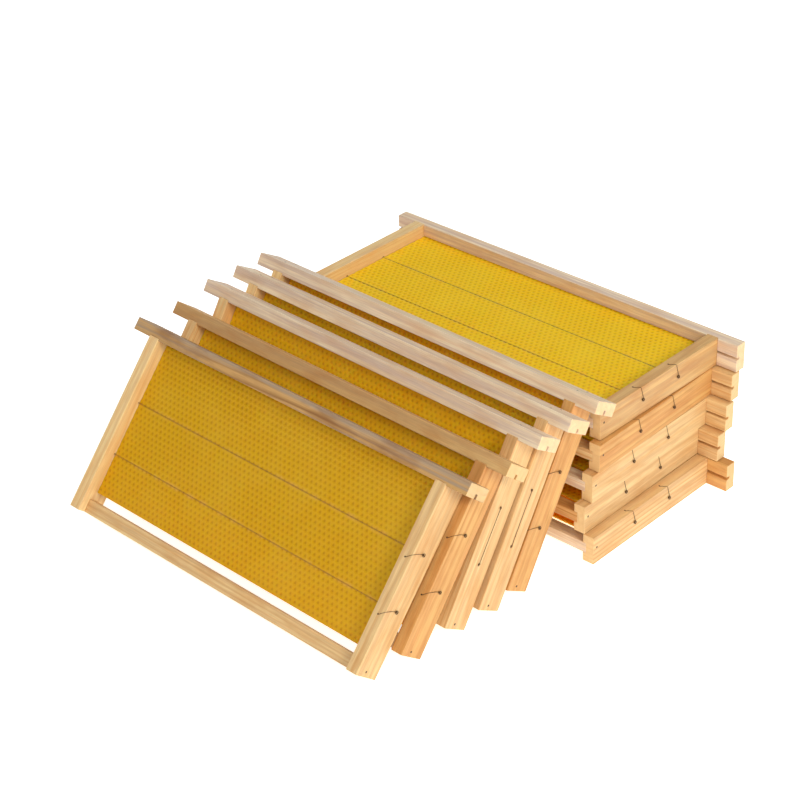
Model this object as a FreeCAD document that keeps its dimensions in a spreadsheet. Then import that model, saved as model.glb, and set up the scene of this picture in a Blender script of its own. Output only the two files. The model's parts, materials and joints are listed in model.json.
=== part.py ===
import FreeCAD, Part
import math
import os

import Sketcher

# Ten hive frames, each nailed up from four bars, wired, and filled with a sheet of
# wax foundation. Five lie flat in a pile. Five stand in a row in front of it, each
# leaned back on the next, and the last one on the pile's top edge.
#
# A frame is drawn upright, in its own coordinates: X along the top bar, Z up from
# the feet of its side bars, and its front face towards -Y. Its placement then leans
# it back, turns it and sets it down. The whole model has +X along the pile's top
# bars and +Y from the row towards the pile, and stands on Z = 0 with its origin
# under the middle of its bounding box.

SIZES = {
    "frame_height": 212.0,
    "side_bar_spread": 431.0,
    "top_bar_length": 482.6,
    "top_bar_width": 32.0,
    "top_bar_thickness": 14.0,
    "dado_depth": 2.0,
    "side_bar_width": 32.5,
    "side_bar_thickness": 14.0,
    "bottom_bar_width": 12.0,
    "bottom_bar_height": 14.5,
    "bottom_bar_tenon": 4.0,
    "kerf_width": 3.0,
    "kerf_depth": 5.0,
    "wax_thickness": 2.4,
    "wax_in_kerf": 4.0,
    "wax_end_gap": 0.5,
    "wax_lower_edge": 24.0,
    "wire_diameter": 0.6,
    "wire_setback": 1.0,
    "wire_channel_gap": 0.05,
    "wire_hole_diameter": 2.4,
    "upper_wire_height": 129.0,
    "lower_wire_height": 69.0,
    "wire_standoff": 0.5,
    "wire_bend_radius": 0.5,
    "wire_tail_drop": 8.0,
    "wire_beside_tack": 0.1,
    "tack_inset": 7.0,
    "tack_diameter": 1.0,
    "tack_length": 8.0,
    "tack_head_diameter": 2.4,
    "tack_head_proud": 0.3,
    "nail_diameter": 1.4,
    "nail_head_diameter": 3.0,
    "nail_head_proud": 0.1,
    "head_thickness": 0.5,
    "top_nail_length": 32.0,
    "top_nail_spacing": 18.0,
    "foot_nail_length": 28.0,
    "foot_nail_height": 5.5,
    "foot_nail_setback": 3.0,
    "layer_gap": 0.6,
}

# Where each frame lies: the pile from the bottom up, by its centre and its turn
# about Z, and the row from the front back, by the middle of its feet, its lean from
# upright and its turn. The wire is tied off on the named side bar.
PILE = [
    {"centre": (0.0, 0.0), "turn": 0.0, "wire_ends": "right"},
    {"centre": (-12.5, -2.5), "turn": 0.5, "wire_ends": "right"},
    {"centre": (-11.0, 7.5), "turn": 0.5, "wire_ends": "right"},
    {"centre": (-10.5, 13.0), "turn": 1.3, "wire_ends": "right"},
    {"centre": (-13.0, 26.5), "turn": -0.4, "wire_ends": "right"},
]
ROW = [
    {"feet": (-42.5, -395.0), "lean": 39.9, "turn": -2.0, "wire_ends": "right"},
    {"feet": (-31.0, -343.2), "lean": 37.6, "turn": -2.1, "wire_ends": "right"},
    {"feet": (-29.0, -281.0), "lean": 32.0, "turn": -2.1, "wire_ends": "left"},
    {"feet": (-24.0, -236.0), "lean": 30.4, "turn": -2.1, "wire_ends": "left"},
    {"feet": (-23.5, -195.2), "lean": 30.3, "turn": -1.5, "wire_ends": "right"},
]

# How far a swept wire's volume may be from its length times its section, as a share.
SWEEP_TOLERANCE = 0.01

doc = FreeCAD.newDocument("hive_frames")


def make_sheet():
    sheet = doc.addObject("Spreadsheet::Sheet", "Sizes")
    for row, (alias, value) in enumerate(SIZES.items(), start=1):
        sheet.set(f"A{row}", alias)
        sheet.set(f"B{row}", str(value))
        sheet.setAlias(f"B{row}", alias)
    doc.recompute()
    return sheet


sheet = make_sheet()


def size(alias):
    return float(sheet.get(alias))


# ------------------------------------------------------------ sketch helpers

def new_body(label):
    body = doc.addObject("PartDesign::Body", label)
    body.Label = label
    return body


def new_sketch(body, name, plane_role):
    """A sketch on one of the body's own origin planes."""
    sketch = body.newObject("Sketcher::SketchObject", name)
    plane = next(f for f in body.Origin.OriginFeatures if f.Role == plane_role)
    sketch.AttachmentSupport = [(plane, "")]
    sketch.MapMode = "FlatFace"
    return sketch


def bind(sketch, kind, geometry, point, start, expression):
    """A dimension from the sketch's origin to a point, driven by the sheet."""
    index = sketch.addConstraint(Sketcher.Constraint(kind, -1, 1, geometry, point, start))
    sketch.setExpression(f"Constraints[{index}]", expression)


def draw_rectangle(sketch, left, right, bottom, top):
    """A rectangle whose four sides are expressions over the sheet."""
    corners = [FreeCAD.Vector(x, y, 0) for x, y in ((0, 0), (1, 0), (1, 1), (0, 1))]
    first = sketch.GeometryCount
    for i in range(4):
        sketch.addGeometry(Part.LineSegment(corners[i], corners[(i + 1) % 4]), False)
    for i in range(4):
        end, start = first + i, first + (i + 1) % 4
        sketch.addConstraint(Sketcher.Constraint("Coincident", end, 2, start, 1))
        direction = "Horizontal" if i % 2 == 0 else "Vertical"
        sketch.addConstraint(Sketcher.Constraint(direction, first + i))
    bind(sketch, "DistanceX", first, 1, 0.0, left)
    bind(sketch, "DistanceX", first + 1, 1, 1.0, right)
    bind(sketch, "DistanceY", first, 1, 0.0, bottom)
    bind(sketch, "DistanceY", first + 2, 1, 1.0, top)


def draw_circle(sketch, across, up, diameter):
    centre = FreeCAD.Vector(0, 0, 0)
    circle = sketch.addGeometry(Part.Circle(centre, FreeCAD.Vector(0, 0, 1), 1.0), False)
    bind(sketch, "DistanceX", circle, 3, 0.0, across)
    bind(sketch, "DistanceY", circle, 3, 0.0, up)
    index = sketch.addConstraint(Sketcher.Constraint("Diameter", circle, 2.0))
    sketch.setExpression(f"Constraints[{index}]", diameter)


def pad_both_ways(body, sketch, length):
    pad = body.newObject("PartDesign::Pad", sketch.Name + "_pad")
    pad.Profile = sketch
    pad.SideType = "Symmetric"
    pad.setExpression("Length", length)


def cut_both_ways(body, sketch, length=None):
    """A pocket to both sides of the sketch, right through unless a length is given."""
    doc.recompute()
    before = body.Shape.Volume
    pocket = body.newObject("PartDesign::Pocket", sketch.Name + "_cut")
    pocket.Profile = sketch
    pocket.SideType = "Symmetric"
    if length is None:
        pocket.Type = "ThroughAll"
    else:
        pocket.setExpression("Length", length)
    doc.recompute()
    if body.Shape.Volume >= before:
        raise RuntimeError(f"{pocket.Name} removed nothing")


# ------------------------------------------------------------------ the bars

def side_bar_span(hand):
    """Where a side bar starts and ends along X, from left to right."""
    sign = {"left": "-", "right": ""}[hand]
    outer = f"{sign}Sizes.side_bar_spread / 2"
    inner = f"{sign}(Sizes.side_bar_spread / 2 - Sizes.side_bar_thickness)"
    return (outer, inner) if hand == "left" else (inner, outer)


def make_top_bar(frame_name):
    """The top bar: a kerf along its underside for the wax, a dado for each side bar."""
    body = new_body(f"{frame_name}_top_bar")
    underside = "Sizes.frame_height - Sizes.top_bar_thickness"
    section = new_sketch(body, f"{frame_name}_top_section", "YZ_Plane")
    draw_rectangle(section, "-Sizes.top_bar_width / 2", "Sizes.top_bar_width / 2",
                   underside, "Sizes.frame_height")
    pad_both_ways(body, section, "Sizes.top_bar_length")
    kerf = new_sketch(body, f"{frame_name}_kerf", "YZ_Plane")
    draw_rectangle(kerf, "-Sizes.kerf_width / 2", "Sizes.kerf_width / 2",
                   underside, f"{underside} + Sizes.kerf_depth")
    cut_both_ways(body, kerf)
    for hand in ("left", "right"):
        dado = new_sketch(body, f"{frame_name}_{hand}_dado", "XZ_Plane")
        draw_rectangle(dado, *side_bar_span(hand), underside,
                       f"{underside} + Sizes.dado_depth")
        cut_both_ways(body, dado)
    return body


def make_side_bar(frame_name, hand):
    """A side bar, drilled for the two wires and notched for the bottom bar."""
    body = new_body(f"{frame_name}_{hand}_side_bar")
    left, right = side_bar_span(hand)
    front = new_sketch(body, f"{frame_name}_{hand}_front", "XZ_Plane")
    draw_rectangle(front, left, right, "0",
                   "Sizes.frame_height - Sizes.top_bar_thickness + Sizes.dado_depth")
    pad_both_ways(body, front, "Sizes.side_bar_width")

    notch = new_sketch(body, f"{frame_name}_{hand}_notch", "XZ_Plane")
    if hand == "left":
        left = f"{right} - Sizes.bottom_bar_tenon"
    else:
        right = f"{left} + Sizes.bottom_bar_tenon"
    draw_rectangle(notch, left, right, "0", "Sizes.bottom_bar_height")
    cut_both_ways(body, notch, "Sizes.bottom_bar_width")

    holes = new_sketch(body, f"{frame_name}_{hand}_wire_holes", "YZ_Plane")
    for height in ("Sizes.upper_wire_height", "Sizes.lower_wire_height"):
        draw_circle(holes, "-Sizes.wire_setback", height, "Sizes.wire_hole_diameter")
    cut_both_ways(body, holes)
    return body


def make_bottom_bar(frame_name):
    """The bottom bar, let into both side bars and flush with their feet."""
    body = new_body(f"{frame_name}_bottom_bar")
    half = "(Sizes.side_bar_spread / 2 - Sizes.side_bar_thickness + Sizes.bottom_bar_tenon)"
    front = new_sketch(body, f"{frame_name}_bottom_front", "XZ_Plane")
    draw_rectangle(front, f"-{half}", half, "0", "Sizes.bottom_bar_height")
    pad_both_ways(body, front, "Sizes.bottom_bar_width")
    return body


def make_wax(frame_name):
    """The wax sheet: up into the kerf, short of the bottom bar, grooved by the wires."""
    body = new_body(f"{frame_name}_wax_foundation")
    half = "(Sizes.side_bar_spread / 2 - Sizes.side_bar_thickness - Sizes.wax_end_gap)"
    front = new_sketch(body, f"{frame_name}_wax_front", "XZ_Plane")
    draw_rectangle(front, f"-{half}", half, "Sizes.wax_lower_edge",
                   "Sizes.frame_height - Sizes.top_bar_thickness + Sizes.wax_in_kerf")
    pad_both_ways(body, front, "Sizes.wax_thickness")
    channels = new_sketch(body, f"{frame_name}_wire_channels", "YZ_Plane")
    for height in ("Sizes.upper_wire_height", "Sizes.lower_wire_height"):
        draw_circle(channels, "-Sizes.wire_setback", height,
                    "Sizes.wire_diameter + 2 * Sizes.wire_channel_gap")
    cut_both_ways(body, channels)
    return body


# ------------------------------------------------------------ wire and nails

def rounded_path(points, radius):
    """Straight runs through the points, with a tangent arc at each inner point."""
    edges = []
    start = points[0]
    for before, corner, after in zip(points, points[1:], points[2:]):
        arrive = (corner - before).normalize()
        leave = (after - corner).normalize()
        half_turn = arrive.getAngle(leave) / 2
        tangent = radius * math.tan(half_turn)
        inward = (leave - arrive).normalize()
        enter, leave_point = corner - arrive * tangent, corner + leave * tangent
        middle = corner + inward * (radius / math.cos(half_turn) - radius)
        edges.append(Part.LineSegment(start, enter).toShape())
        edges.append(Part.Arc(enter, middle, leave_point).toShape())
        start = leave_point
    edges.append(Part.LineSegment(start, points[-1]).toShape())
    return Part.Wire(edges)


def make_wire(side):
    """One wire: from a tack, through the frame and back, to the other tack.

    side is +1 where the wire's two ends are tied off on the right side bar.
    """
    outside = side * (size("side_bar_spread") / 2 + size("wire_standoff"))
    back = -size("wire_setback")
    front = -size("side_bar_width") / 2
    tack_x = side * (size("side_bar_spread") / 2 - size("tack_inset"))
    drop = size("wire_tail_drop")
    upper, lower = size("upper_wire_height"), size("lower_wire_height")
    beside_tack = (size("tack_diameter") + size("wire_diameter")) / 2 + size("wire_beside_tack")

    def tail(height):
        return [FreeCAD.Vector(tack_x, front, height - drop + beside_tack),
                FreeCAD.Vector(outside, front, height - drop / 2),
                FreeCAD.Vector(outside, back, height)]

    far_side = [FreeCAD.Vector(-outside, back, upper), FreeCAD.Vector(-outside, back, lower)]
    points = tail(upper) + far_side + list(reversed(tail(lower)))
    path = rounded_path(points, size("wire_bend_radius"))
    radius = size("wire_diameter") / 2
    circle = Part.Circle(points[0], points[1] - points[0], radius)
    solid = path.makePipeShell([Part.Wire(circle.toShape())], True, False)
    expected = math.pi * radius ** 2 * path.Length
    if not solid.isValid() or abs(solid.Volume - expected) > SWEEP_TOLERANCE * expected:
        raise RuntimeError("the wire's sweep went wrong")
    return solid


def make_nail(head_centre, direction, length, shank, head, proud):
    """A nail or tack driven along direction, its head standing proud of the wood."""
    top = head_centre - direction * proud
    shank_part = Part.makeCylinder(shank / 2, length, top, direction)
    head_part = Part.makeCylinder(head / 2, size("head_thickness"), top, direction)
    return shank_part.fuse(head_part).removeSplitter()


def make_nails(side):
    """Every nail and tack of one frame, as separate solids."""
    half_spread = size("side_bar_spread") / 2
    bar_middle = half_spread - size("side_bar_thickness") / 2
    nail = (size("nail_diameter"), size("nail_head_diameter"), size("nail_head_proud"))
    tack = (size("tack_diameter"), size("tack_head_diameter"), size("tack_head_proud"))
    nails = []
    for end in (-1, 1):
        for across in (-1, 1):
            place = FreeCAD.Vector(end * bar_middle, across * size("top_nail_spacing") / 2,
                                   size("frame_height"))
            down = FreeCAD.Vector(0, 0, -1)
            nails.append(make_nail(place, down, size("top_nail_length"), *nail))
        place = FreeCAD.Vector(end * half_spread, -size("foot_nail_setback"),
                               size("foot_nail_height"))
        inwards = FreeCAD.Vector(-end, 0, 0)
        nails.append(make_nail(place, inwards, size("foot_nail_length"), *nail))
    for height in (size("upper_wire_height"), size("lower_wire_height")):
        place = FreeCAD.Vector(side * (half_spread - size("tack_inset")),
                               -size("side_bar_width") / 2, height - size("wire_tail_drop"))
        backwards = FreeCAD.Vector(0, 1, 0)
        nails.append(make_nail(place, backwards, size("tack_length"), *tack))
    return nails


def make_wire_and_nails(frame_name, wire_ends):
    side = {"left": -1, "right": 1}[wire_ends]
    group = doc.addObject("Part::Feature", f"{frame_name}_wire_and_nails")
    group.Label = group.Name
    group.Shape = Part.makeCompound([make_wire(side)] + make_nails(side))
    return group


# ---------------------------------------------------------------- the frames

def make_frame(frame_name, wire_ends):
    return [
        make_top_bar(frame_name),
        make_side_bar(frame_name, "left"),
        make_side_bar(frame_name, "right"),
        make_bottom_bar(frame_name),
        make_wax(frame_name),
        make_wire_and_nails(frame_name, wire_ends),
    ]


def placement(position, lean, turn):
    """Leaned back about X, then turned about Z, then moved."""
    lean_back = FreeCAD.Rotation(FreeCAD.Vector(1, 0, 0), -lean)
    turn_about_z = FreeCAD.Rotation(FreeCAD.Vector(0, 0, 1), turn)
    return FreeCAD.Placement(position, turn_about_z.multiply(lean_back))


def pile_placement(layer, spot):
    """Lying flat: the frame's height runs back from its feet, half of it each way."""
    pitch = size("side_bar_width") + size("layer_gap")
    centre = FreeCAD.Vector(*spot["centre"], size("side_bar_width") / 2 + layer * pitch)
    flat = placement(centre, 90.0, spot["turn"])
    flat.Base = flat.multVec(FreeCAD.Vector(0, 0, -size("frame_height") / 2))
    return flat


def row_placement(spot):
    """Leaning back: the rear lower edges of the side bars stand on the table."""
    rise = size("side_bar_width") / 2 * math.sin(math.radians(spot["lean"]))
    return placement(FreeCAD.Vector(*spot["feet"], rise), spot["lean"], spot["turn"])


pieces = []
for layer, spot in enumerate(PILE):
    for piece in make_frame(f"pile_frame_{layer + 1}", spot["wire_ends"]):
        pieces.append((piece, pile_placement(layer, spot)))
for number, spot in enumerate(ROW, start=1):
    for piece in make_frame(f"row_frame_{number}", spot["wire_ends"]):
        pieces.append((piece, row_placement(spot)))
doc.recompute()

# The frames are set down first, and then all moved together, so that the origin
# comes under the middle of the bounding box.
whole = FreeCAD.BoundBox()
for piece, place in pieces:
    piece.Placement = place
    whole.add(piece.Shape.BoundBox)
to_origin = FreeCAD.Vector(-whole.Center.x, -whole.Center.y, -whole.ZMin)
for piece, place in pieces:
    piece.Placement = FreeCAD.Placement(place.Base + to_origin, place.Rotation)
doc.recompute()

for item in doc.Objects:
    if "Invalid" in item.State or "Error" in item.State:
        raise RuntimeError(f"{item.Name} failed: {item.State}")
for piece, _ in pieces:
    if piece.Shape.isNull() or not piece.Shape.isValid():
        raise RuntimeError(f"{piece.Label} has no valid shape")

os.makedirs("parts", exist_ok=True)
for piece, _ in pieces:
    piece.Shape.exportStep(f"parts/{piece.Label}.step")
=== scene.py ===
"""The looks of ten hive frames with wax foundation: five in a pile, five leaning in a row."""
import json
import math
import random

import bmesh
import bpy
from mathutils import Matrix, Vector

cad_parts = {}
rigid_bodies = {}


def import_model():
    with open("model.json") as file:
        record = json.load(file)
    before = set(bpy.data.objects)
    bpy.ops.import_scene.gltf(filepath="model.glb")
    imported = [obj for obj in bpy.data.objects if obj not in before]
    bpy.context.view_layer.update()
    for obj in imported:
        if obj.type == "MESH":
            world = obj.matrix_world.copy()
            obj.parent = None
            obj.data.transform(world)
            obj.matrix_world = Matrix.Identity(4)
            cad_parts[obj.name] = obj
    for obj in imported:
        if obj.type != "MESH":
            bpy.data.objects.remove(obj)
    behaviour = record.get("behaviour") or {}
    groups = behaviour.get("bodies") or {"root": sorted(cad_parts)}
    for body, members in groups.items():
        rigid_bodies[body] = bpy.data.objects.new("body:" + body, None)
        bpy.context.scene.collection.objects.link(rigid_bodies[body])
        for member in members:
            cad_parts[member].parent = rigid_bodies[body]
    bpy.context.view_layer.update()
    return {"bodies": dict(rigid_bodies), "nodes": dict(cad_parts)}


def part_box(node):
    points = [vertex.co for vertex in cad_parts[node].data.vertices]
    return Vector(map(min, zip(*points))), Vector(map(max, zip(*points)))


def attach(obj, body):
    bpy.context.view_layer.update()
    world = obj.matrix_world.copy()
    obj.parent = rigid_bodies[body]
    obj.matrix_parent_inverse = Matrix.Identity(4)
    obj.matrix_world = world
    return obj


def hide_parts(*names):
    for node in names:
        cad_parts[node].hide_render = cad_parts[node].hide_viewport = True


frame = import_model()

MM = 0.001
BODIES = sorted(frame["bodies"])


# ------------------------------------------------------------------- camera

# The camera looks along azimuth and elevation at a point near the model's middle.
CAMERA_TARGET = Vector((-0.0055, 0.0089, 0.1165))
CAMERA_AZIMUTH = 43.04
CAMERA_ELEVATION = 31.13
CAMERA_ROLL = -1.70
CAMERA_DISTANCE = 2.3306
CAMERA_LENS = 99.5
SENSOR_WIDTH = 36.0


def add_camera():
    azimuth, elevation, roll = (
        math.radians(a) for a in (CAMERA_AZIMUTH, CAMERA_ELEVATION, CAMERA_ROLL))
    forward = Vector((-math.sin(azimuth) * math.cos(elevation),
                      math.cos(azimuth) * math.cos(elevation),
                      -math.sin(elevation)))
    level_right = Vector((math.cos(azimuth), math.sin(azimuth), 0.0))
    level_up = level_right.cross(forward)
    right = level_right * math.cos(roll) + level_up * math.sin(roll)
    up = level_up * math.cos(roll) - level_right * math.sin(roll)
    data = bpy.data.cameras.new("camera")
    data.lens = CAMERA_LENS
    data.sensor_width = SENSOR_WIDTH
    data.clip_end = 100.0
    camera = bpy.data.objects.new("camera", data)
    turned = Matrix((right, up, -forward)).transposed().to_4x4()
    place = CAMERA_TARGET - forward * CAMERA_DISTANCE
    camera.matrix_world = Matrix.Translation(place) @ turned
    bpy.context.scene.collection.objects.link(camera)
    bpy.context.scene.camera = camera


# ----------------------------------------------------- each frame's own axes

def box_along(mesh, to_local):
    """The lowest and highest corners of a mesh, in the axes that to_local leads to."""
    points = [to_local @ v.co for v in mesh.vertices]
    low = Vector([min(p[i] for p in points) for i in range(3)])
    high = Vector([max(p[i] for p in points) for i in range(3)])
    return low, high


class HiveFrame:
    """A frame's own axes: X along its top bar, Z up from its feet, its front at -Y.

    The origin is midway along the frame and across its top bar, level with its feet.
    """

    def __init__(self, name):
        self.name = name
        top = self.mesh("top_bar")
        up = sum(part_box(f"{name}_top_bar"), Vector()) - sum(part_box(f"{name}_bottom_bar"), Vector())
        normals = [face.normal.copy() for face in top.polygons]
        along_bar = max(normals, key=lambda n: n.x)
        from_feet = max(normals, key=lambda n: n.dot(up))
        backwards = from_feet.cross(along_bar).normalized()
        turned = Matrix((along_bar, backwards, from_feet)).transposed().to_4x4()
        low, high = box_along(top, turned.inverted())
        feet = box_along(self.mesh("left_side_bar"), turned.inverted())[0].z
        origin = Vector(((low.x + high.x) / 2, (low.y + high.y) / 2, feet))
        self.rotation = turned
        self.matrix = Matrix.Translation(turned @ origin) @ turned

    def node(self, part):
        return frame["nodes"][f"{self.name}_{part}"]

    def mesh(self, part):
        return self.node(part).data

    def box(self, part):
        return box_along(self.mesh(part), self.matrix.inverted())


# Where part.py threads, ties and nails, in a frame's own axes.
WIRE_HEIGHTS = (129.0 * MM, 69.0 * MM)
WIRE_SETBACK = -1.0 * MM
TACK_INSET = 7.0 * MM
TAIL_DROP = 8.0 * MM
TOP_NAIL_INSET = 7.0 * MM
TOP_NAIL_SETBACK = 9.0 * MM
FOOT_NAIL_SETBACK = -3.0 * MM
FOOT_NAIL_HEIGHT = 5.5 * MM

# The drawn wire is a little thinner than the CAD's and lies deeper in the wax.
WIRE_DEPTH = -0.85 * MM
WIRE_RADIUS = 0.25 * MM


# ------------------------------------------------------------ material tools

def linear(red, green, blue):
    """A colour given in display values from 0 to 255, as Blender wants it."""
    def channel(value):
        value /= 255.0
        return value / 12.92 if value <= 0.04045 else ((value + 0.055) / 1.055) ** 2.4
    return (channel(red), channel(green), channel(blue), 1.0)


class Tree:
    """A material's nodes, added one call at a time."""

    def __init__(self, name):
        self.material = bpy.data.materials.new(name)
        self.material.use_nodes = True
        self.tree = self.material.node_tree
        self.shader = self.tree.nodes["Principled BSDF"]

    def add(self, kind, inputs=(), **settings):
        made = self.tree.nodes.new("ShaderNode" + kind)
        for key, value in settings.items():
            setattr(made, key, value)
        for socket, value in dict(inputs).items():
            self.put(made, socket, value)
        return made

    def put(self, made, socket, value):
        if isinstance(value, bpy.types.NodeSocket):
            self.tree.links.new(value, made.inputs[socket])
        else:
            made.inputs[socket].default_value = value

    def math(self, operation, first, second=0.0, clamp=False):
        made = self.add("Math", {0: first, 1: second}, operation=operation, use_clamp=clamp)
        return made.outputs[0]

    def mix(self, share, first, second, blend="MIX"):
        made = self.add("Mix", {0: share, 6: first, 7: second}, data_type="RGBA", blend_type=blend)
        return made.outputs[2]

    def noise(self, vector, scale, detail=2.0, roughness=0.5):
        made = self.add("TexNoise", {"Vector": vector, "Scale": scale, "Detail": detail,
                                     "Roughness": roughness})
        return made.outputs[0]

    def ramp(self, value, stops):
        made = self.add("ValToRGB", {0: value})
        elements = made.color_ramp.elements
        while len(elements) < len(stops):
            elements.new(0.5)
        for element, (position, colour) in zip(elements, stops):
            element.position = position
            element.color = colour
        return made.outputs[0]

    def span(self, value, start, end, at_start, at_end):
        """A value's place from start to end, as one from at_start to at_end."""
        return self.add("MapRange", {0: value, 1: start, 2: end,
                                     3: at_start, 4: at_end}).outputs[0]

    def bump(self, height, distance, strength=1.0):
        made = self.add("Bump", {"Height": height, "Distance": distance, "Strength": strength})
        self.put(self.shader, "Normal", made.outputs[0])


# --------------------------------------------------------------------- pine

# A wave texture of scale 1 has its rings this far apart.
WAVE_PERIOD = math.tau / 20.0
RING_WIDTHS = (4.0 * MM, 8.0 * MM)
PITH_DISTANCES = (30.0 * MM, 110.0 * MM)
SWAY = 0.020
# How much slower rings, blotches and fibres change along the grain than across it.
RINGS_DRAWN_OUT = 0.10
BLOTCHES_DRAWN_OUT = 0.25
FIBRES_DRAWN_OUT = 0.025
# Noise scales, per metre.
SWAY_SCALE = 22.0
FADING_SCALE = 30.0
BLOTCH_SCALE = 75.0
STREAK_SCALE = 170.0
FIBRE_SCALE = 1500.0
GRAIN_DEPTH = 0.12 * MM

# Each sort of pine: its early wood, its late wood, and the stain along its grain.
PINES = {
    "cream": (linear(253, 232, 200), linear(226, 182, 140), linear(220, 194, 176)),
    "tan": (linear(241, 206, 148), linear(212, 150, 84), linear(220, 178, 126)),
    "orange": (linear(230, 180, 110), linear(192, 126, 60), linear(216, 156, 92)),
    "amber": (linear(228, 186, 124), linear(196, 132, 70), linear(206, 162, 110)),
    # Painted light: the golden sort is lighter pine for the left side bars, standing in for the light
    # that their inner faces catch from the wax.
    "golden_painted_light": (linear(250, 218, 158), linear(232, 174, 108), linear(238, 200, 146)),
    "brown": (linear(210, 164, 102), linear(142, 92, 50), linear(176, 152, 128)),
}
BAR_SORTS = {
    "row_frame_1_top_bar": "brown",
    "row_frame_2_top_bar": "amber",
    "row_frame_3_top_bar": "cream",
    "row_frame_4_top_bar": "cream",
    "row_frame_5_top_bar": "cream",
    # The left side bars take the golden sort, lighter pine as painted light.
    "row_frame_1_left_side_bar": "golden_painted_light",
    "row_frame_2_left_side_bar": "golden_painted_light",
    "row_frame_3_left_side_bar": "golden_painted_light",
    "row_frame_4_left_side_bar": "golden_painted_light",
    "row_frame_5_left_side_bar": "golden_painted_light",
    "row_frame_1_right_side_bar": "tan",
    "row_frame_2_right_side_bar": "orange",
    "row_frame_3_right_side_bar": "tan",
    "row_frame_4_right_side_bar": "tan",
    "row_frame_5_right_side_bar": "orange",
    "pile_frame_5_top_bar": "cream",
    "pile_frame_5_left_side_bar": "golden_painted_light",
    "pile_frame_5_right_side_bar": "amber",
    "pile_frame_3_right_side_bar": "tan",
    "pile_frame_1_right_side_bar": "tan",
}
OTHER_SORTS = ("tan", "tan", "cream", "orange")
END_GRAIN = linear(236, 202, 146)
END_GRAIN_SHARE = 0.65


def grey(value):
    return (value, value, value, 1.0)


def drawn_out(tree, local, start, share):
    """The bar's coordinates from a start, with the grain's own axis squeezed to a share."""
    return tree.add("Mapping", {"Vector": local, "Location": start,
                                "Scale": (share, 1.0, 1.0)}).outputs[0]


def pine(name, axes, centre, sort, draw):
    """Pine whose grain runs along the first of the bar's axes."""
    early, late, stain = PINES[sort]
    tree = Tree(name)
    coordinates = tree.add("TexCoord")
    local = tree.add("Mapping", {"Vector": coordinates.outputs["Object"], "Location": centre,
                                 "Rotation": axes.to_euler()}, vector_type="TEXTURE").outputs[0]
    pith_angle = draw.uniform(0.0, math.tau)
    pith_distance = draw.uniform(*PITH_DISTANCES)
    pith = Vector((draw.uniform(-1.0, 1.0), pith_distance * math.cos(pith_angle),
                   pith_distance * math.sin(pith_angle)))

    # Growth rings round the pith: pale early wood that darkens to late wood and stops short.
    log = drawn_out(tree, local, pith, RINGS_DRAWN_OUT)
    sway = tree.add("TexNoise", {"Vector": log, "Scale": SWAY_SCALE, "Detail": 1.5})
    swayed = tree.add("VectorMath", {0: sway.outputs["Color"], 1: (SWAY, SWAY, SWAY),
                                     2: log}, operation="MULTIPLY_ADD").outputs[0]
    ring_width = draw.uniform(*RING_WIDTHS)
    rings = tree.add("TexWave", {"Vector": swayed, "Scale": WAVE_PERIOD / ring_width,
                                 "Distortion": 0.8, "Detail": 2.0, "Detail Scale": 1.5},
                     wave_type="RINGS", rings_direction="X", wave_profile="SAW").outputs["Fac"]
    late_share = tree.ramp(rings, [(0.0, grey(0.35)), (0.10, grey(0.0)), (0.50, grey(0.15)),
                                   (0.88, grey(1.0)), (1.0, grey(0.35))])
    fading = tree.span(tree.noise(log, FADING_SCALE, 1.0), 0.35, 0.65,
                       0.30, draw.uniform(0.75, 1.0))
    late_share = tree.math("MULTIPLY", late_share, fading, clamp=True)
    colour = tree.mix(late_share, early, late)

    # Stained streaks and blotches along the grain, then the fibres themselves.
    fibre_space = drawn_out(tree, local, pith, FIBRES_DRAWN_OUT)
    streaks = tree.noise(fibre_space, STREAK_SCALE, 4.0, 0.65)
    stained = tree.ramp(streaks, [(0.42, grey(0.0)), (0.62, grey(0.95))])
    colour = tree.mix(stained, colour, stain)
    blotches = tree.noise(drawn_out(tree, local, pith, BLOTCHES_DRAWN_OUT), BLOTCH_SCALE,
                          3.0, 0.6)
    blotched = tree.ramp(blotches, [(0.45, grey(0.0)), (0.70, grey(0.55))])
    colour = tree.mix(blotched, colour, late)
    fibres = tree.noise(fibre_space, FIBRE_SCALE, 3.0, 0.6)
    fibre_tone = tree.ramp(fibres, [(0.30, grey(0.80)), (0.70, grey(1.0))])
    colour = tree.mix(1.0, colour, fibre_tone, "MULTIPLY")

    # The sawn ends of a bar face along its grain.
    facing = tree.add("VectorMath", {0: coordinates.outputs["Normal"], 1: axes.col[0]},
                      operation="DOT_PRODUCT").outputs["Value"]
    end_grain = tree.span(tree.math("ABSOLUTE", facing), 0.6, 0.95, 0.0, END_GRAIN_SHARE)
    colour = tree.mix(end_grain, colour, END_GRAIN)

    tree.put(tree.shader, "Base Color", colour)
    tree.put(tree.shader, "Roughness", tree.ramp(fibres, [(0.2, grey(0.48)), (0.8, grey(0.68))]))
    tree.shader.inputs["Specular IOR Level"].default_value = 0.35
    height = tree.add("Math", {0: late_share, 1: 0.5, 2: fibres}, operation="MULTIPLY_ADD")
    tree.bump(height.outputs[0], GRAIN_DEPTH, 0.6)
    return tree.material


BAR_EDGE_WIDTH = 0.7 * MM


def finish_bar(piece, material):
    """Eases the bar's sharp edges and gives it its wood."""
    weld = piece.modifiers.new("weld", "WELD")
    weld.merge_threshold = 0.01 * MM
    flats = piece.modifiers.new("whole_faces", "DECIMATE")
    flats.decimate_type = "DISSOLVE"
    flats.angle_limit = math.radians(1.0)
    bevel = piece.modifiers.new("eased_edges", "BEVEL")
    bevel.width = BAR_EDGE_WIDTH
    bevel.segments = 3
    bevel.limit_method = "ANGLE"
    bevel.angle_limit = math.radians(50.0)
    bevel.use_clamp_overlap = False
    bevel.loop_slide = False
    normals = piece.modifiers.new("normals", "WEIGHTED_NORMAL")
    normals.keep_sharp = False
    piece.data.materials.clear()
    piece.data.materials.append(material)


# ---------------------------------------------------------------------- wax

CELL_PITCH = 6.5 * MM
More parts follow.
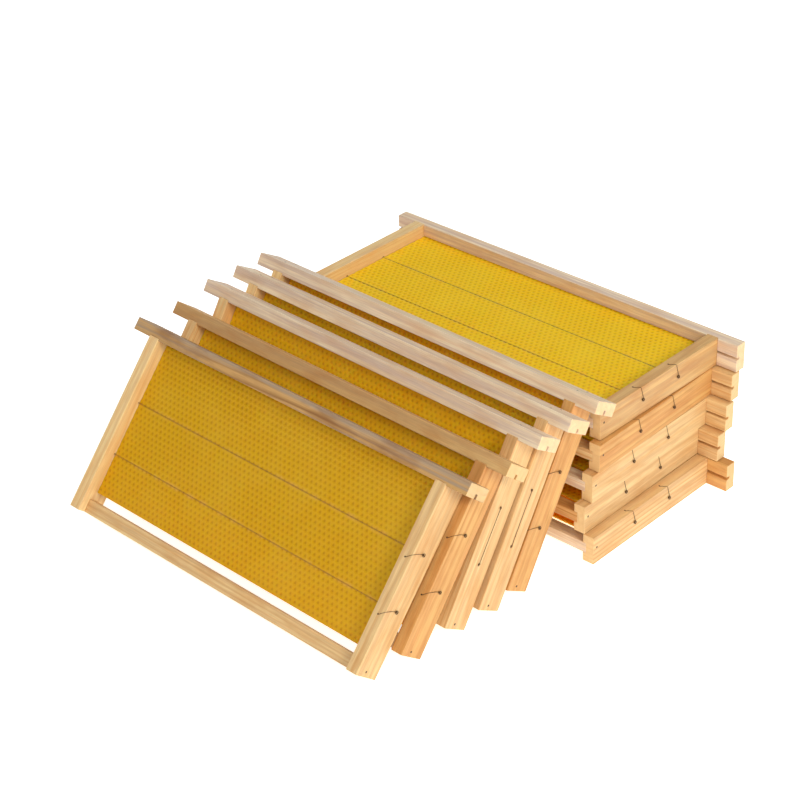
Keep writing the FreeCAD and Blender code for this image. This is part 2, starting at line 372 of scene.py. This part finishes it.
# Heights above the sheet's middle: of the cell walls, of the two sets of corners round a
# cell's bottom, and of its lowest point.
RIDGE_LEVEL = 1.15 * MM
FOOT_LEVELS = (0.92 * MM, 0.84 * MM)
PIT_LEVEL = 0.60 * MM
# A cell's bottom reaches this share of the way to its walls.
FOOT_SHARE = 0.50
# Wax colours from the cell walls down to the cell bottoms: the floor and pit colours darken the wax as
# painted shade in the cells' hollows.
WAX_LIGHT = linear(242, 190, 24)
WAX_FLOOR_PAINTED_SHADE = linear(238, 184, 18)
WAX_PIT_PAINTED_SHADE = linear(216, 158, 10)
WAX_BLOOM = linear(246, 208, 70)
WAX_DISTURBED = linear(222, 174, 84)
# Painted shadow of the wire: the wax right beside it darkens to this colour.
WAX_WIRE_PAINTED_SHADOW = linear(164, 112, 24)
# Painted light and shade on a frame's wax, where it is not 1: its wax colours are scaled darker under
# 1 and lighter over 1.
WAX_PAINTED_LIGHT_AND_SHADE = {"row_frame_1": 0.73, "row_frame_2": 0.95, "pile_frame_5": 1.05}
# Above and below a wire, from nearer to further: where the wax is disturbed, and where
# it is darker with a painted shadow of the wire.
DISTURBED_REACH = (0.5 * MM, 3.5 * MM)
WIRE_PAINTED_SHADOW_REACH = (0.3 * MM, 1.3 * MM)
WIRE_PAINTED_SHADOW_SHARE = 0.60
# How deep light goes into the wax, in red, green and blue.
WAX_GLOW = (1.0, 0.6, 0.12)
WAX_GLOW_DEPTH = 4.0 * MM
WAX_GRAIN_DEPTH = 0.05 * MM
# Noise scales, per metre.
CLOUD_SCALE = 22.0
DISTURBED_SCALE = 90.0
WAX_GRAIN_SCALE = 900.0


def honeycomb_mesh(low, high):
    """A sheet between two corners, with pressed cell bottoms and low walls on both faces."""
    half = bmesh.new()
    corner_radius = CELL_PITCH / math.sqrt(3.0)
    row_pitch = 1.5 * corner_radius
    centre = (low + high) / 2
    columns = int((high.x - low.x) / CELL_PITCH / 2) + 2
    rows = int((high.z - low.z) / row_pitch / 2) + 2
    shared = {}

    def vertex(x, z, level):
        key = (round(x / MM, 3), round(z / MM, 3))
        if key not in shared:
            shared[key] = half.verts.new((centre.x + x, centre.y - level, centre.z + z))
        return shared[key]

    for row in range(-rows, rows + 1):
        for column in range(-columns, columns + 1):
            x = (column + 0.5 * (row % 2)) * CELL_PITCH
            z = row * row_pitch
            turns = [math.radians(30.0 + 60.0 * i) for i in range(6)]
            rim = [vertex(x + corner_radius * math.cos(a), z + corner_radius * math.sin(a),
                          RIDGE_LEVEL) for a in turns]
            foot_radius = FOOT_SHARE * corner_radius
            foot = [vertex(x + foot_radius * math.cos(a), z + foot_radius * math.sin(a),
                           FOOT_LEVELS[i % 2]) for i, a in enumerate(turns)]
            middle = vertex(x, z, PIT_LEVEL)
            for i in range(6):
                j = (i + 1) % 6
                half.faces.new((rim[i], rim[j], foot[j], foot[i]))
            for i in (1, 3, 5):
                half.faces.new((middle, foot[i], foot[(i + 1) % 6], foot[(i + 2) % 6]))

    for corner, outwards in ((low, -1.0), (high, 1.0)):
        for axis in (Vector((1, 0, 0)), Vector((0, 0, 1))):
            bmesh.ops.bisect_plane(half, geom=half.verts[:] + half.edges[:] + half.faces[:],
                                   plane_co=corner, plane_no=axis * outwards, clear_outer=True)
    front = half.verts[:]
    faces = half.faces[:]
    rim_edges = [e.verts[:] for e in half.edges if e.is_boundary]
    back = {v: half.verts.new((v.co.x, 2 * centre.y - v.co.y, v.co.z)) for v in front}
    for face in faces:
        half.faces.new([back[v] for v in reversed(face.verts)])
    for a, b in rim_edges:
        half.faces.new((a, b, back[b], back[a]))
    bmesh.ops.recalc_face_normals(half, faces=half.faces[:])
    mesh = bpy.data.meshes.new("honeycomb")
    half.to_mesh(mesh)
    half.free()
    return mesh


def shaded(colour, shade):
    """A linear colour made darker, or lighter with a shade over 1."""
    return (colour[0] * shade, colour[1] * shade, colour[2] * shade, 1.0)


def wax_material(name, middle, shade, draw):
    """Beeswax: darker in the cell bottoms as painted shade, cloudy, disturbed along the wires, and
    darker right beside them as a painted shadow of the wire.
    """
    tree = Tree(name)
    coordinates = tree.add("TexCoord").outputs["Object"]
    across = tree.add("SeparateXYZ", {0: coordinates})
    depth = tree.math("ABSOLUTE", tree.math("SUBTRACT", across.outputs[1], middle.y))
    # Painted shade: the wax's colour darkens from the cell walls down into the cell bottoms.
    level = tree.span(depth, PIT_LEVEL, RIDGE_LEVEL, 0.0, 1.0)
    pit, floor, light = (shaded(c, shade) for c in (WAX_PIT_PAINTED_SHADE, WAX_FLOOR_PAINTED_SHADE, WAX_LIGHT))
    colour = tree.ramp(level, [(0.0, pit), (0.25, pit), (0.50, floor), (1.0, light)])
    shifted = tree.add("Mapping", {"Vector": coordinates,
                                   "Location": (draw.random(), draw.random(), 0.0)}).outputs[0]
    cloud = tree.noise(shifted, CLOUD_SCALE, 4.0, 0.6)
    bloom = tree.ramp(cloud, [(0.4, grey(0.0)), (0.8, grey(0.25))])
    colour = tree.mix(bloom, colour, shaded(WAX_BLOOM, shade))
    for height in WIRE_HEIGHTS:
        away = tree.math("ABSOLUTE", tree.math("SUBTRACT", across.outputs[2], height))
        near = tree.span(away, *DISTURBED_REACH, 1.0, 0.0)
        patchy = tree.ramp(tree.noise(shifted, DISTURBED_SCALE, 2.0),
                           [(0.40, grey(0.0)), (0.65, grey(0.6))])
        colour = tree.mix(tree.math("MULTIPLY", near, patchy), colour, WAX_DISTURBED)
        # Painted shadow of the wire on the wax right beside it.
        darker = tree.span(away, *WIRE_PAINTED_SHADOW_REACH, WIRE_PAINTED_SHADOW_SHARE, 0.0)
        colour = tree.mix(darker, colour, WAX_WIRE_PAINTED_SHADOW)
    tree.put(tree.shader, "Base Color", colour)
    tree.put(tree.shader, "Roughness", tree.ramp(cloud, [(0.3, grey(0.45)), (0.7, grey(0.62))]))
    tree.shader.inputs["Specular IOR Level"].default_value = 0.18
    tree.shader.inputs["Subsurface Weight"].default_value = 0.9
    tree.shader.inputs["Subsurface Radius"].default_value = WAX_GLOW
    tree.shader.inputs["Subsurface Scale"].default_value = WAX_GLOW_DEPTH
    tree.bump(tree.noise(shifted, WAX_GRAIN_SCALE, 3.0), WAX_GRAIN_DEPTH, 0.5)
    return tree.material


# ----------------------------------------------------------- wire and nails

# The wax ends this far from a frame's middle, and the wire is bare soon after.
WAXED_TO = 201.0 * MM
BARE_FROM = 205.0 * MM
STEEL_PATCH_SCALE = 700.0
STEEL_PATCH_DEPTH = 0.03 * MM


def steel_material():
    """Thin steel: dark and rusty in the open, dulled by wax between the side bars."""
    tree = Tree("dark_steel")
    coordinates = tree.add("TexCoord").outputs["Object"]
    patches = tree.noise(coordinates, STEEL_PATCH_SCALE, 4.0, 0.6)
    bare = tree.ramp(patches, [(0.35, linear(104, 76, 44)), (0.62, linear(60, 38, 18))])
    waxed = tree.ramp(patches, [(0.35, linear(190, 138, 52)), (0.62, linear(128, 86, 30))])
    aside = tree.math("ABSOLUTE", tree.add("SeparateXYZ", {0: coordinates}).outputs[0])
    in_wax = tree.span(aside, WAXED_TO, BARE_FROM, 1.0, 0.0)
    tree.put(tree.shader, "Base Color", tree.mix(in_wax, bare, waxed))
    tree.put(tree.shader, "Roughness", tree.ramp(patches, [(0.3, grey(0.4)), (0.7, grey(0.7))]))
    tree.shader.inputs["Metallic"].default_value = 0.3
    tree.bump(patches, STEEL_PATCH_DEPTH, 0.5)
    return tree.material


def turns_round(centre, radius, first, last, steps, rise):
    """Points round an axis, from one angle to another. rise moves each further along it.

    centre, and the two directions that span the circle, are vectors.
    """
    middle, right, up = centre
    points = []
    for i in range(steps + 1):
        angle = math.radians(first + (last - first) * i / steps)
        points.append(middle + right * (radius * math.cos(angle))
                      + up * (radius * math.sin(angle)) + rise * (i / steps))
    return points


# The loop that a wire's end makes round its tack: degrees, and points along it.
TACK_LOOP_RADIUS = 0.6 * MM
TACK_LOOP_START = 200
TACK_LOOP_TURN = 250
TACK_LOOP_STEPS = 6

# From the tack to the knot: how far out from the side bar's outer face, back from its
# front face, and up from the hole.
TAIL_WAY = (
    (-2.0 * MM, -WIRE_RADIUS, -4.6 * MM),
    (WIRE_RADIUS, -WIRE_RADIUS, -3.2 * MM),
    (WIRE_RADIUS, 2.0 * MM, -2.6 * MM),
    (WIRE_RADIUS, 8.0 * MM, -0.8 * MM),
    (WIRE_RADIUS + 0.6 * MM, 13.0 * MM, 0.3 * MM),
)

# A knot is a wide winding, then a tight one nearer the wood. For each: its radius, its
# turn in degrees, the points along it, how far off it starts, and how far in it goes.
KNOT_RADIUS = 1.5 * MM
KNOT_START = 180
KNOT_WINDINGS = (
    (KNOT_RADIUS + WIRE_RADIUS, 720, 18, 1.5 * MM, 0.9 * MM),
    (KNOT_RADIUS - 2 * WIRE_RADIUS, 540, 10, 0.6 * MM, 0.6 * MM),
)

# A run across the frame starts this deep in a side bar's hole, and is quite straight
# from this much further in.
HOLE_DEPTH = 3.0 * MM
STRAIGHT_FROM = 20.0 * MM

# On the untied side the wire makes part of a turn at each hole, in degrees, and runs
# along the bar between them. It keeps FAR_CORNER from each hole's height.
FAR_TURN = 270
FAR_STEPS = 6
FAR_RISE = 0.6 * MM
FAR_CORNER = 6.0 * MM


def tie_off(side, outer, face, height):
    """A wire's end, from its tack on the front edge to the knot at its hole."""
    x_axis, y_axis, z_axis = Vector((1, 0, 0)), Vector((0, 1, 0)), Vector((0, 0, 1))
    tack = Vector((side * (outer - TACK_INSET), face - WIRE_RADIUS, height - TAIL_DROP))
    way = turns_round((tack, x_axis, z_axis), TACK_LOOP_RADIUS, TACK_LOOP_START,
                      TACK_LOOP_START - side * TACK_LOOP_TURN, TACK_LOOP_STEPS,
                      Vector((0.0, 0.0, 0.0)))
    way += [Vector((side * (outer + out), face + back, height + up))
            for out, back, up in TAIL_WAY]
    for radius, turn, steps, off, inwards in KNOT_WINDINGS:
        hole = Vector((side * (outer + WIRE_RADIUS + off), WIRE_SETBACK, height))
        way += turns_round((hole, y_axis, z_axis), radius, KNOT_START, KNOT_START + turn, steps,
                           -x_axis * (side * inwards))
    return way


def wire_points(side, outer, face):
    """One wire's whole way, tied off on the side bar that side says: +1 for the right."""
    upper, lower = WIRE_HEIGHTS
    inside = outer - HOLE_DEPTH
    straight = inside - STRAIGHT_FROM
    far = outer + WIRE_RADIUS
    y_axis, z_axis = Vector((0, 1, 0)), Vector((0, 0, 1))

    def run(height, order):
        way = [Vector((side * reach, WIRE_DEPTH, height))
               for reach in (inside, straight, -straight, -inside)]
        return way[::order]

    def round_far_hole(height, drop):
        hole = Vector((-side * far, WIRE_SETBACK, height))
        return turns_round((hole, y_axis, z_axis), KNOT_RADIUS, 0, -FAR_TURN * drop, FAR_STEPS,
                           Vector((-side * FAR_RISE, 0, 0)))

    leaving = round_far_hole(upper, 1)
    across = [Vector((-side * far, WIRE_DEPTH, upper - FAR_CORNER)),
              Vector((-side * far, WIRE_DEPTH, lower + FAR_CORNER))]
    arriving = round_far_hole(lower, -1)[::-1]
    return (tie_off(side, outer, face, upper) + run(upper, 1) + leaving + across + arriving
            + run(lower, -1) + tie_off(side, outer, face, lower)[::-1])


def wire_mesh(side, outer, face):
    """The wire as a round curve along its way, turned into a mesh."""
    curve = bpy.data.curves.new("wire", "CURVE")
    curve.dimensions = "3D"
    curve.bevel_depth = WIRE_RADIUS
    curve.bevel_resolution = 2
    curve.use_fill_caps = True
    points = wire_points(side, outer, face)
    spline = curve.splines.new("NURBS")
    spline.points.add(len(points) - 1)
    for point, place in zip(spline.points, points):
        point.co = (*place, 1.0)
    spline.order_u = 3
    spline.use_endpoint_u = True
    spline.resolution_u = 4
    drawn = bpy.data.objects.new("wire", curve)
    mesh = bpy.data.meshes.new_from_object(drawn)
    bpy.data.objects.remove(drawn)
    bpy.data.curves.remove(curve)
    mesh.polygons.foreach_set("use_smooth", [True] * len(mesh.polygons))
    return mesh


# Each nail's outline from its crown down: how far from its axis, and how deep, in mm.
NAIL_OUTLINE = ((0.0, -0.16), (0.8, -0.12), (1.25, 0.0), (1.45, 0.2), (1.3, 0.4), (0.7, 0.5),
                (0.7, 8.0), (0.0, 9.5))
TACK_OUTLINE = ((0.0, -0.56), (0.5, -0.54), (0.8, -0.50), (0.85, -0.46), (0.7, -0.42),
                (0.35, -0.38), (0.35, 6.0), (0.0, 7.5))
NAIL_SIDES = 16


def add_nail(mesh, outline, place, inwards):
    """Turns an outline round the nail's axis."""
    turn = inwards.to_track_quat("Z", "Y").to_matrix()
    rings = []
    for radius, depth in outline:
        if radius == 0.0:
            rings.append([mesh.verts.new(place + turn @ Vector((0, 0, depth * MM)))])
            continue
        ring = []
        for i in range(NAIL_SIDES):
            angle = math.tau * i / NAIL_SIDES
            spot = Vector((radius * math.cos(angle), radius * math.sin(angle), depth)) * MM
            ring.append(mesh.verts.new(place + turn @ spot))
        rings.append(ring)
    for one, other in zip(rings, rings[1:]):
        for i in range(NAIL_SIDES):
            j = (i + 1) % NAIL_SIDES
            corners = [one[i % len(one)], one[j % len(one)],
                       other[j % len(other)], other[i % len(other)]]
            mesh.faces.new(list(dict.fromkeys(corners)))


def nails_mesh(outer, top):
    """The six nails of one frame, at the places that part.py drives them."""
    mesh = bmesh.new()
    for end in (-1, 1):
        for across in (-1, 1):
            place = Vector((end * (outer - TOP_NAIL_INSET), across * TOP_NAIL_SETBACK, top))
            add_nail(mesh, NAIL_OUTLINE, place, Vector((0, 0, -1)))
        place = Vector((end * outer, FOOT_NAIL_SETBACK, FOOT_NAIL_HEIGHT))
        add_nail(mesh, NAIL_OUTLINE, place, Vector((-end, 0, 0)))
    return finished(mesh, "nails")


def tacks_mesh(side, outer, face):
    """The two tacks that the ends of one frame's wire are tied to."""
    mesh = bmesh.new()
    for height in WIRE_HEIGHTS:
        place = Vector((side * (outer - TACK_INSET), face, height - TAIL_DROP))
        add_nail(mesh, TACK_OUTLINE, place, Vector((0, 1, 0)))
    return finished(mesh, "tacks")


def finished(mesh, name):
    """A Blender mesh, smooth and facing outwards, from what has been built."""
    bmesh.ops.recalc_face_normals(mesh, faces=mesh.faces[:])
    made = bpy.data.meshes.new(name)
    mesh.to_mesh(made)
    mesh.free()
    made.polygons.foreach_set("use_smooth", [True] * len(made.polygons))
    return made


# ---------------------------------------------------------------- the pieces

def add_piece(hive_frame, name, data, material, slot, *replaced):
    """A piece made in a frame's own axes, set down where the frame is."""
    piece = bpy.data.objects.new(f"{hive_frame.name}_{name}", data)
    bpy.context.scene.collection.objects.link(piece)
    piece.matrix_world = hive_frame.matrix
    piece.material_slots[0].link = "OBJECT"
    piece.material_slots[0].material = material
    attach(piece, hive_frame.name)
    if replaced:
        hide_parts(*(f"{hive_frame.name}_{node}" for node in replaced))
    return piece


class Shared:
    """What all ten frames have alike: the comb sheet, and wires and nails for each hand."""

    def __init__(self, model):
        low, high = model.box("wax_foundation")
        self.wax_middle = (low + high) / 2
        self.wax = honeycomb_mesh(low, high)
        low, high = model.box("right_side_bar")
        top = model.box("top_bar")[1].z
        self.outer = high.x
        self.wires = {side: wire_mesh(side, high.x, low.y) for side in (-1, 1)}
        self.tacks = {side: tacks_mesh(side, high.x, low.y) for side in (-1, 1)}
        self.nails = nails_mesh(high.x, top)
        self.steel = steel_material()
        for data in (self.wax, self.nails, *self.wires.values(), *self.tacks.values()):
            data.materials.append(self.steel)


# What stands this far in front of a side bar can only be a tack or the wire round it.
CLEAR_OF_BAR = 0.1 * MM


def tied_side(hive_frame):
    """+1 where the wire's tacks are on the right side bar, or -1 for the left."""
    front = hive_frame.box("right_side_bar")[0].y
    points = [hive_frame.matrix.inverted() @ v.co
              for v in hive_frame.mesh("wire_and_nails").vertices]
    tacks = [p.x for p in points if p.y < front - CLEAR_OF_BAR]
    return 1 if sum(tacks) > 0 else -1


def dress_frame(hive_frame, shared, draw):
    """Gives a frame's four bars their wood, and adds its comb sheet, wire, tacks and nails."""
    x_axis, y_axis, z_axis = (hive_frame.rotation.to_3x3().col[i] for i in range(3))
    axes_across = Matrix((x_axis, y_axis, z_axis)).transposed()
    axes_upright = Matrix((z_axis, x_axis, y_axis)).transposed()
    for part, axes in (("top_bar", axes_across), ("bottom_bar", axes_across),
                       ("left_side_bar", axes_upright), ("right_side_bar", axes_upright)):
        name = f"{hive_frame.name}_{part}"
        low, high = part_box(name)
        sort = BAR_SORTS.get(name, draw.choice(OTHER_SORTS))
        finish_bar(hive_frame.node(part), pine(f"pine_{name}", axes, (low + high) / 2, sort, draw))

    side = tied_side(hive_frame)
    # Painted light and shade: each frame's wax colours are scaled by its own factor.
    wax = wax_material(f"wax_{hive_frame.name}", shared.wax_middle,
                       WAX_PAINTED_LIGHT_AND_SHADE.get(hive_frame.name, 1.0), draw)
    add_piece(hive_frame, "comb_sheet", shared.wax, wax, "beeswax", "wax_foundation")
    add_piece(hive_frame, "wire", shared.wires[side], shared.steel, "steel_wire",
              "wire_and_nails")
    add_piece(hive_frame, "tacks", shared.tacks[side], shared.steel, "steel_wire")
    add_piece(hive_frame, "nails", shared.nails, shared.steel, "steel_wire")


# --------------------------------------------------------- floor and lights

FLOOR_REACH = 12.0
FLOOR_GAP = 0.2 * MM
FLOOR_GLOW = 0.75


def add_floor():
    """A pale floor just under the frames, which glows a little, as a lit white table does."""
    corners = [(x * FLOOR_REACH, y * FLOOR_REACH, 0)
               for x, y in ((-1, -1), (1, -1), (1, 1), (-1, 1))]
    mesh = bpy.data.meshes.new("floor")
    mesh.from_pydata(corners, [], [(0, 1, 2, 3)])
    floor = bpy.data.objects.new("floor", mesh)
    bpy.context.scene.collection.objects.link(floor)
    floor.location.z = -FLOOR_GAP
    tree = Tree("pale_floor")
    coordinates = tree.add("TexCoord").outputs["Object"]
    tone = tree.noise(coordinates, 3.0, 2.0)
    tree.put(tree.shader, "Base Color", tree.ramp(tone, [(0.3, linear(246, 246, 246)),
                                                         (0.7, linear(250, 250, 250))]))
    tree.shader.inputs["Roughness"].default_value = 0.9
    tree.shader.inputs["Specular IOR Level"].default_value = 0.1
    tree.shader.inputs["Emission Color"].default_value = (1.0, 1.0, 1.0, 1.0)
    tree.shader.inputs["Emission Strength"].default_value = FLOOR_GLOW
    mesh.materials.append(tree.material)


def add_area_light(name, place, target, size, power, colour):
    data = bpy.data.lights.new(name, "AREA")
    data.shape = "DISK"
    data.size = size
    data.energy = power
    data.color = colour
    light = bpy.data.objects.new(name, data)
    light.location = place
    light.rotation_euler = (target - place).to_track_quat("-Z", "Y").to_euler()
    bpy.context.scene.collection.objects.link(light)


# Each lamp's place, size in metres, power in watts, and colour.
LAMPS = {
    "key": ((2.75, -0.75, 1.9), 1.0, 46.0, (1.0, 0.90, 0.75)),
    "top": ((0.3, 0.8, 3.0), 2.0, 27.0, (0.90, 0.97, 1.0)),
    "front": ((1.3, -2.0, 2.2), 1.4, 20.0, (1.0, 0.97, 0.93)),
}
LAMPS_AIM = Vector((0.0, 0.0, 0.1))
SKY_COLOUR = (0.95, 0.98, 1.0, 1.0)
SKY_STRENGTH = 0.33


def add_light():
    world = bpy.data.worlds.new("studio")
    bpy.context.scene.world = world
    world.use_nodes = True
    background = world.node_tree.nodes["Background"]
    background.inputs["Color"].default_value = SKY_COLOUR
    background.inputs["Strength"].default_value = SKY_STRENGTH
    for name, (place, size, power, colour) in LAMPS.items():
        add_area_light(name, Vector(place), LAMPS_AIM, size, power, colour)
    bpy.context.scene.view_settings.view_transform = "Standard"


# ------------------------------------------------------------------- making

add_camera()
add_floor()
add_light()
hive_frames = [HiveFrame(name) for name in BODIES]
shared = Shared(hive_frames[0])
for number, hive_frame in enumerate(hive_frames):
    dress_frame(hive_frame, shared, random.Random(number))
